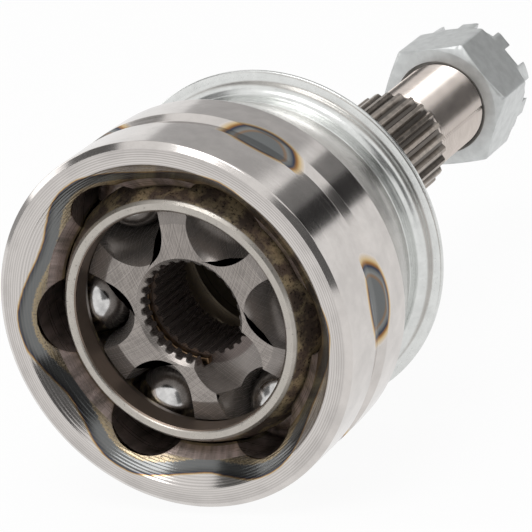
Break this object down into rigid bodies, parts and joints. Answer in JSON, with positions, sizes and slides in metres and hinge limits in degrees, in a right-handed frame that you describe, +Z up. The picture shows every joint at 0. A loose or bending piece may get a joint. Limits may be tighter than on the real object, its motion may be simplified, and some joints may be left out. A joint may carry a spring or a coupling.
{
  "type": "constant-velocity joint",
  "caption": "Outer CV joint: grooved bell with a splined and threaded wheel stub, dust shield and castle nut, holding a splined inner race, a windowed ball cage, steel balls and a spring clip.",
  "frame": {"origin": "joint centre on the stub axis, where the driveshaft and stub axes cross and about which the joint bends", "axes": "+Y along the stub axis from the bell's mouth towards the threaded end, +Z up along the bend axis, +X through the middle of ball_1"},
  "size_m": [0.084, 0.171, 0.084],
  "materials": {
    "turned_steel": "fine-turned and ground forging, heat-tinted at the mouth and over the tracks",
    "cage_steel": "case-hardened, ground ring faces, oiled dark sphere",
    "race_steel": "ground satin with dark ground tracks",
    "ball_steel": "polished",
    "clip_steel": "tempered spring steel, brownish",
    "shield_zinc": "bluish zinc-plated sheet",
    "nut_zinc": "pale zinc plate with machined chamfers"
  },
  "bodies": {
    "outer_race": {"outer_race": "turned_steel", "dust_shield": "shield_zinc"},
    "inner_race": {"inner_race": "race_steel", "retaining_ring": "clip_steel"},
    "cage": {"cage": "cage_steel"},
    "ball_1": {"ball_1": "ball_steel"},
    "ball_2": {"ball_2": "ball_steel"},
    "ball_3": {"ball_3": "ball_steel"},
    "ball_4": {"ball_4": "ball_steel"},
    "ball_5": {"ball_5": "ball_steel"},
    "ball_6": {"ball_6": "ball_steel"},
    "castle_nut": {"castle_nut": "nut_zinc"}
  },
  "joints": [
    {"name": "articulation", "type": "hinge", "parent": "outer_race", "child": "inner_race", "pos_m": [0, 0, 0], "axis": [0, 0, 1], "range_deg": [-42, 42]},
    {"name": "cage_tilt", "type": "hinge", "parent": "outer_race", "child": "cage", "pos_m": [0, 0, 0], "axis": [0, 0, 1], "range_deg": [-21, 21]},
    {"name": "ball_1_roll", "type": "hinge", "parent": "outer_race", "child": "ball_1", "pos_m": [0, -0.0032, 0], "axis": [0, 0, 1], "range_deg": [-21, 21]},
    {"name": "ball_2_roll", "type": "hinge", "parent": "outer_race", "child": "ball_2", "pos_m": [0, -0.0032, 0], "axis": [-0.866, 0, 0.5], "range_deg": [-10.5, 10.5]},
    {"name": "ball_3_roll", "type": "hinge", "parent": "outer_race", "child": "ball_3", "pos_m": [0, -0.0032, 0], "axis": [-0.866, 0, -0.5], "range_deg": [-10.5, 10.5]},
    {"name": "ball_4_roll", "type": "hinge", "parent": "outer_race", "child": "ball_4", "pos_m": [0, -0.0032, 0], "axis": [0, 0, -1], "range_deg": [-21, 21]},
    {"name": "ball_5_roll", "type": "hinge", "parent": "outer_race", "child": "ball_5", "pos_m": [0, -0.0032, 0], "axis": [0.866, 0, -0.5], "range_deg": [-10.5, 10.5]},
    {"name": "ball_6_roll", "type": "hinge", "parent": "outer_race", "child": "ball_6", "pos_m": [0, -0.0032, 0], "axis": [0.866, 0, 0.5], "range_deg": [-10.5, 10.5]},
    {"name": "nut_travel", "type": "slide", "parent": "outer_race", "child": "castle_nut", "axis": [0, 1, 0], "range_m": [-0.015, 0]}
  ],
  "couplings": [
    {"joint": "cage_tilt", "follows": "articulation", "ratio": 0.5},
    {"joint": "ball_1_roll", "follows": "articulation", "ratio": 0.5},
    {"joint": "ball_2_roll", "follows": "articulation", "ratio": 0.25},
    {"joint": "ball_3_roll", "follows": "articulation", "ratio": -0.25},
    {"joint": "ball_4_roll", "follows": "articulation", "ratio": -0.5},
    {"joint": "ball_5_roll", "follows": "articulation", "ratio": -0.25},
    {"joint": "ball_6_roll", "follows": "articulation", "ratio": 0.25}
  ]
}
